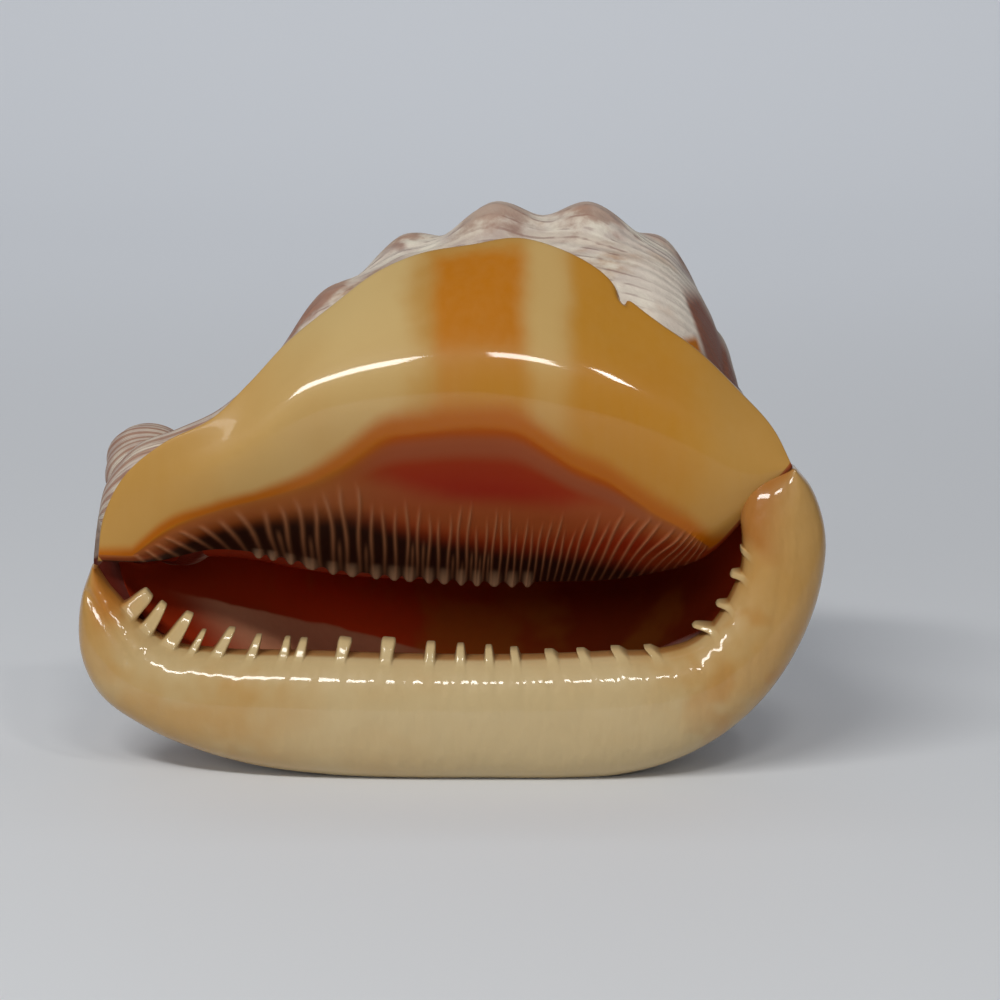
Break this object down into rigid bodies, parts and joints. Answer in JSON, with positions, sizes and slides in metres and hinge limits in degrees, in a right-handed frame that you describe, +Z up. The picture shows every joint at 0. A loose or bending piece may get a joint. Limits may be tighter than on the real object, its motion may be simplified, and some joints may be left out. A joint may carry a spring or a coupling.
{
  "type": "helmet shell",
  "caption": "Large sea shell standing on its rolled, toothed outer lip, with a long narrow mouth under a glossy shield and a knobby, coiled, hollow back.",
  "frame": {"origin": "centre of the shell's box, on the surface that it stands on", "axes": "+X along the coil axis towards the spire, -Y out of the mouth, +Z up"},
  "size_m": [0.1531, 0.1043, 0.1123],
  "materials": {
    "shell": "natural shell, polished gloss on the shield and lip, matt on the back"
  },
  "bodies": {
    "root": {"helmet_shell": "shell"}
  },
  "joints": []
}
